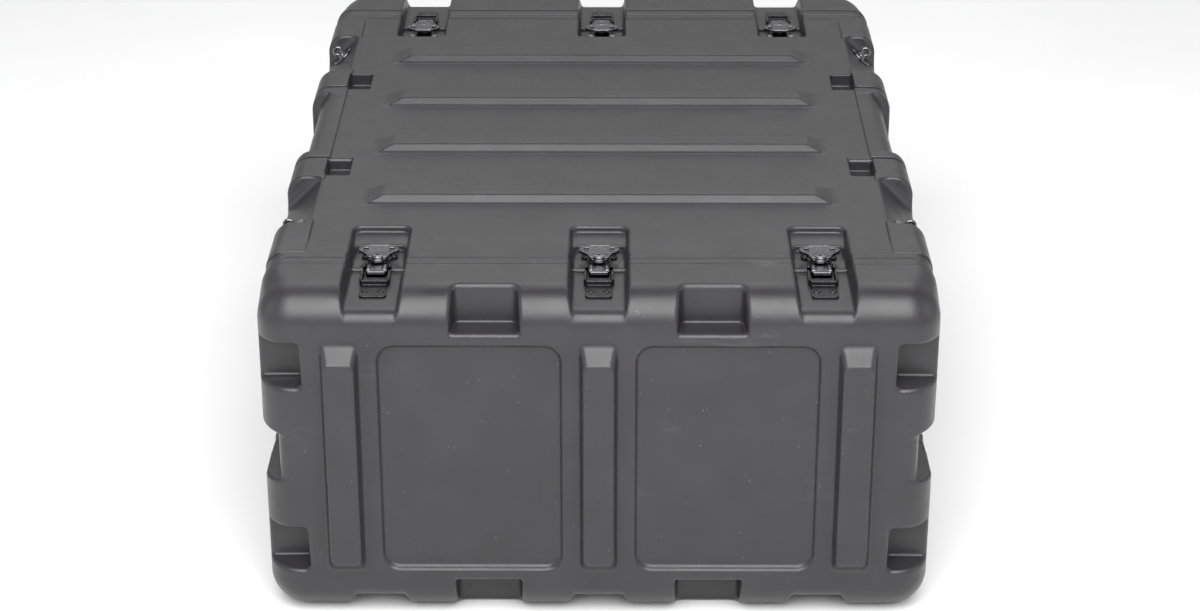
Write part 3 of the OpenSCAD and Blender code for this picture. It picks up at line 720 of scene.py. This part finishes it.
def moulded(name, dark, light, rough, grain=0.5, speck=True):
    """Rotomoulded plastic: fine even grain, pale flecks, soft mottling, faint scuffs and paler rubbed edges."""
    m, nt, sh = material(name)
    co = coords(nt)
    mott = noise(nt, co, 22, 4, 0.55)
    col = ramp(nt, mott, [(0.3, dark), (0.7, light)])
    fine = noise(nt, co, 900, 2, 0.6)
    col = mixc(nt, remap(nt, fine, 0.35, 0.7, 0.0, 0.16), col, tuple(min(1, c * 1.5) for c in light))
    if speck:
        v = voronoi(nt, co, 230)
        dots = ramp(nt, v.outputs["Distance"], [(0.05, (1, 1, 1)), (0.12, (0, 0, 0))])
        pick = ramp(nt, noise(nt, co, 61, 1, 0.5), [(0.62, (0, 0, 0)), (0.66, (1, 1, 1))])
        dots = mixc(nt, 1.0, dots, pick, "MULTIPLY")
        col = mixc(nt, calc(nt, "MULTIPLY", dots, 0.55), col, (0.42, 0.42, 0.43))
    # long faint scuffs
    sc = noise(nt, co, 9, 6, 0.75, 0.6, (1.0, 4.0, 2.4))
    fade = noise(nt, co, 3.1, 2, 0.5)
    scuff = calc(nt, "MULTIPLY", ramp(nt, sc, [(0.60, (0, 0, 0)), (0.72, (1, 1, 1))]), ramp(nt, fade, [(0.5, (0, 0, 0)), (0.68, (1, 1, 1))]))
    col = mixc(nt, calc(nt, "MULTIPLY", scuff, 0.2), col, (0.22, 0.22, 0.225))
    at = nt.nodes.new("ShaderNodeAttribute")
    at.attribute_name = "edge"
    wear = remap(nt, at.outputs["Fac"], 0.25, 0.9, 0.0, 1.0)
    wear = calc(nt, "MULTIPLY", wear, ramp(nt, noise(nt, co, 60, 5, 0.7), [(0.4, (0.15, 0.15, 0.15)), (0.7, (1, 1, 1))]), clamp=True)
    col = mixc(nt, calc(nt, "MULTIPLY", wear, 0.25), col, (0.24, 0.24, 0.245))
    nt.links.new(col, sh.inputs["Base Color"])
    r = remap(nt, noise(nt, co, 35, 4, 0.6), 0.3, 0.7, rough - 0.05, rough + 0.06)
    r = calc(nt, "ADD", r, calc(nt, "MULTIPLY", scuff, 0.12))
    nt.links.new(r, sh.inputs["Roughness"])
    h = bump(nt, noise(nt, co, 620, 3, 0.6), grain * 1.5, 0.00022)
    h = bump(nt, noise(nt, co, 2300, 2, 0.5), grain * 0.7, 0.00008, h)
    h = bump(nt, noise(nt, co, 14, 2, 0.5), 0.16, 0.0011, h)
    nt.links.new(h, sh.inputs["Normal"])
    sh.inputs["Specular IOR Level"].default_value = 0.5
    return m


def metal(name, base, dark, rough, metallic=1.0, scale=1.0, coat=0.0):
    """Plated or painted steel with fine brushed variation, pitting and dull patches."""
    m, nt, sh = material(name)
    co = coords(nt)
    a = noise(nt, co, 260 * scale, 4, 0.6)
    col = ramp(nt, a, [(0.32, dark), (0.66, base)])
    pits = voronoi(nt, co, 900 * scale)
    col = mixc(nt, ramp(nt, pits.outputs["Distance"], [(0.0, (0.5, 0.5, 0.5)), (0.12, (0, 0, 0))]), col, tuple(c * 0.5 for c in dark))
    nt.links.new(col, sh.inputs["Base Color"])
    sh.inputs["Metallic"].default_value = metallic
    br = noise(nt, co, 240 * scale, 5, 0.7, 0.0, (1.0, 9.0, 1.0))
    nt.links.new(remap(nt, br, 0.3, 0.7, max(0.03, rough - 0.07), rough + 0.09), sh.inputs["Roughness"])
    h = bump(nt, noise(nt, co, 1400 * scale, 3, 0.6), 0.22, 0.00005)
    h = bump(nt, noise(nt, co, 130, 2, 0.5), 0.2, 0.0003, h)
    nt.links.new(h, sh.inputs["Normal"])
    if coat:
        sh.inputs["Coat Weight"].default_value = coat
        sh.inputs["Coat Roughness"].default_value = 0.12
    return m


def soft_rubber(name, base, light, rough=0.75, scale=1.0):
    m, nt, sh = material(name)
    co = coords(nt)
    col = ramp(nt, noise(nt, co, 70 * scale, 4, 0.6), [(0.35, base), (0.7, light)])
    dust = ramp(nt, noise(nt, co, 420 * scale, 4, 0.7), [(0.55, (0, 0, 0)), (0.75, (1, 1, 1))])
    col = mixc(nt, calc(nt, "MULTIPLY", dust, 0.25), col, (0.16, 0.155, 0.15))
    nt.links.new(col, sh.inputs["Base Color"])
    nt.links.new(remap(nt, noise(nt, co, 150, 3, 0.5), 0.3, 0.7, rough - 0.1, rough + 0.08), sh.inputs["Roughness"])
    nt.links.new(bump(nt, noise(nt, co, 1500 * scale, 3, 0.6), 0.5, 0.0001), sh.inputs["Normal"])
    return m


MAT = {
    "shell": moulded("shell_plastic", (0.017, 0.016, 0.0175), (0.023, 0.0216, 0.0236), 0.36),
    "rim": moulded("rim_plastic", (0.016, 0.0151, 0.0164), (0.022, 0.0207, 0.0225), 0.34, 0.35),
    "rack_steel": metal("rail_steel", (0.05, 0.05, 0.052), (0.03, 0.03, 0.032), 0.42, 0.0, 0.6, 0.25),
    "frame_steel": metal("frame_steel", (0.035, 0.035, 0.037), (0.02, 0.02, 0.022), 0.5, 0.0, 0.5),
    "rubber": soft_rubber("mount_rubber", (0.012, 0.012, 0.012), (0.028, 0.028, 0.028)),
    "gasket": soft_rubber("gasket_foam", (0.02, 0.02, 0.02), (0.04, 0.04, 0.04), 0.85, 2.0),
    "zinc": metal("zinc_plate", (0.62, 0.62, 0.63), (0.42, 0.42, 0.43), 0.3),
    "polished_steel": metal("polished_steel", (0.17, 0.17, 0.175), (0.11, 0.11, 0.115), 0.16),
    "black_steel": metal("black_steel", (0.055, 0.054, 0.057), (0.03, 0.03, 0.032), 0.24, 1.0),
    "latch_steel": metal("latch_steel", (0.20, 0.197, 0.205), (0.13, 0.128, 0.134), 0.24, 1.0),
    "handle_black": soft_rubber("handle_rubber", (0.018, 0.018, 0.019), (0.035, 0.035, 0.036), 0.6),
}
SLOT = {}
for mrow in frame["record"].get("materials", []):
    pass
for nm, o in NODES.items():
    if nm in ("body_shell", "front_lid", "rear_lid"): s = "shell"
    elif nm.endswith("_rim"): s = "rim"
    elif nm.endswith("_rail"): s = "rack_steel"
    elif nm.startswith("frame_"): s = "frame_steel"
    elif nm == "shock_mounts": s = "rubber"
    elif nm.endswith("_gasket"): s = "gasket"
    elif nm in ("shock_mount_bolts", "latch_rivets", "handle_screws"): s = "zinc"
    elif nm == "tie_down_eyes": s = "polished_steel"
    elif nm.startswith(("wing_", "claw_")): s = "latch_steel"
    elif nm in ("handle_plates", "latch_bases") or nm.endswith("_keepers"): s = "black_steel"
    else: s = "handle_black"
    SLOT[nm] = s
    o.data.materials.clear()
    o.data.materials.append(MAT[s])

# ------------------------------------------------------------------ shells
def flipped(part):
    """The same part turned to face -Y, by mirroring."""
    k = np.array([1, -1, 1.0])
    return part[0] * k, part[1][:, ::-1], part[2] * k, part[3]


fl = flipped(lid_part())
piece("front_lid_shell", fl, MAT["shell"], "front_lid", ["front_lid"])
piece("rear_lid_shell", turned(fl), MAT["shell"], "rear_lid", ["rear_lid"])
piece("case_shell", body_part(), MAT["shell"], "case", ["body_shell"])
fr = flipped(rim_part())
piece("front_rim_band", fr, MAT["rim"], "case", ["front_rim"])
piece("rear_rim_band", turned(fr), MAT["rim"], "case", ["rear_rim"])

# ------------------------------------------------------------------ latches
wing, claw, keeper, base = wing_part(), claw_part(), keeper_part(), base_part()
for e, end in enumerate(("front", "rear")):
    for nm, pl in PLACE.items():
        M = latch_matrix(pl[e], e)
        piece("wing_%s_%s_pressed" % (end, nm), placed(wing, M), MAT["latch_steel"], "wing_%s_%s" % (end, nm), ["wing_%s_%s" % (end, nm)])
        piece("claw_%s_%s_forged" % (end, nm), placed(claw, M), MAT["latch_steel"], "claw_%s_%s" % (end, nm), ["claw_%s_%s" % (end, nm)])
    piece("%s_keeper_plates" % end, joined([placed(keeper, latch_matrix(pl[e], e)) for pl in PLACE.values()]), MAT["black_steel"], "%s_lid" % end, ["%s_keepers" % end])
piece("latch_base_plates", joined([placed(base, latch_matrix(pl[e], e)) for e in (0, 1) for pl in PLACE.values()]), MAT["black_steel"], "case", ["latch_bases"])

# ------------------------------------------------------------------ tie-down eyes and handles
eye, hand = eye_part(), handle_part()
eyes = []
for sx in (1, -1):
    for sy in (1, -1):
        M = Matrix.Translation((sx * 292.0, sy * 250.0, 316.0)) @ Matrix.Rotation(math.radians(45 * sx), 4, "Y")
        eyes.append(placed(eye, M))
        nm = "handle_%s_%s" % ("rear" if sy > 0 else "front", "right" if sx > 0 else "left")
        piece(nm + "_bail", placed(hand, Matrix.Translation((sx * 296.0, sy * 213.0, 250.0))), MAT["handle_black"], nm, [nm])
piece("tie_down_eye_set", joined(eyes), MAT["polished_steel"], "case", ["tie_down_eyes"])

# ------------------------------------------------------------------ floor and light
def stage_plane():
    n = 40
    R = 6.0
    me = bpy.data.meshes.new("floor")
    # floor with a curved rise far behind
    prof = [(-6.0, 0.0), (4.0, 0.0)]
    for i in range(1, 13):
        a = math.pi / 2 * i / 12
        prof.append((4.0 + 2.5 * math.sin(a), 2.5 - 2.5 * math.cos(a)))
    prof.append((6.5, 6.0))
    v = []
    for y, z in prof:
        for x in (-8.0, 8.0):
            v.append((x, y, z - 0.0002))
    f = [(2 * i, 2 * i + 1, 2 * i + 3, 2 * i + 2) for i in range(len(prof) - 1)]
    me.from_pydata(v, [], f)
    me.update()
    for p in me.polygons:
        p.use_smooth = True
    o = bpy.data.objects.new("floor", me)
    scene.collection.objects.link(o)
    m, nt, sh = material("floor_paper")
    co = coords(nt)
    nt.links.new(ramp(nt, noise(nt, co, 3, 2, 0.5), [(0.3, (0.80, 0.80, 0.80)), (0.7, (0.83, 0.83, 0.83))]), sh.inputs["Base Color"])
    sh.inputs["Roughness"].default_value = 0.8
    me.materials.append(m)


stage_plane()


def area(name, loc, target, sx, sy, power, colour=(1, 1, 1)):
    l = bpy.data.lights.new(name, "AREA")
    l.shape = "RECTANGLE"
    l.size, l.size_y = sx, sy
    l.energy = power
    l.color = colour
    o = bpy.data.objects.new(name, l)
    scene.collection.objects.link(o)
    o.location = loc
    o.rotation_mode = "QUATERNION"
    o.rotation_quaternion = (Vector(target) - Vector(loc)).to_track_quat("-Z", "Y")
    return o


d, e = 3.0, math.radians(47)
area("key", (0.0, -d * math.cos(e), d * math.sin(e) + 0.2), (0, 0, 0.2), 3.4, 2.8, 200)
area("top", (0.0, 1.9, 2.7), (0, 0.1, 0.3), 3.4, 2.2, 38)
area("left_fill", (-3.2, -0.6, 1.3), (0, 0, 0.2), 1.6, 1.8, 12)
area("right_fill", (3.2, -0.6, 1.3), (0, 0, 0.2), 1.6, 1.8, 12)
w = bpy.data.worlds.new("world")
scene.world = w
w.use_nodes = True
bg = w.node_tree.nodes["Background"]
tc = w.node_tree.nodes.new("ShaderNodeTexCoord")
sep = w.node_tree.nodes.new("ShaderNodeSeparateXYZ")
w.node_tree.links.new(tc.outputs["Generated"], sep.inputs[0])
rp = ramp(w.node_tree, sep.outputs["Z"], [(0.0, (1.0, 1.0, 1.0)), (0.5, (1.0, 1.0, 1.0)), (0.8, (0.03, 0.03, 0.03))])
w.node_tree.links.new(rp, bg.inputs["Color"])
bg.inputs["Strength"].default_value = 0.45
scene.view_settings.view_transform = "Standard"
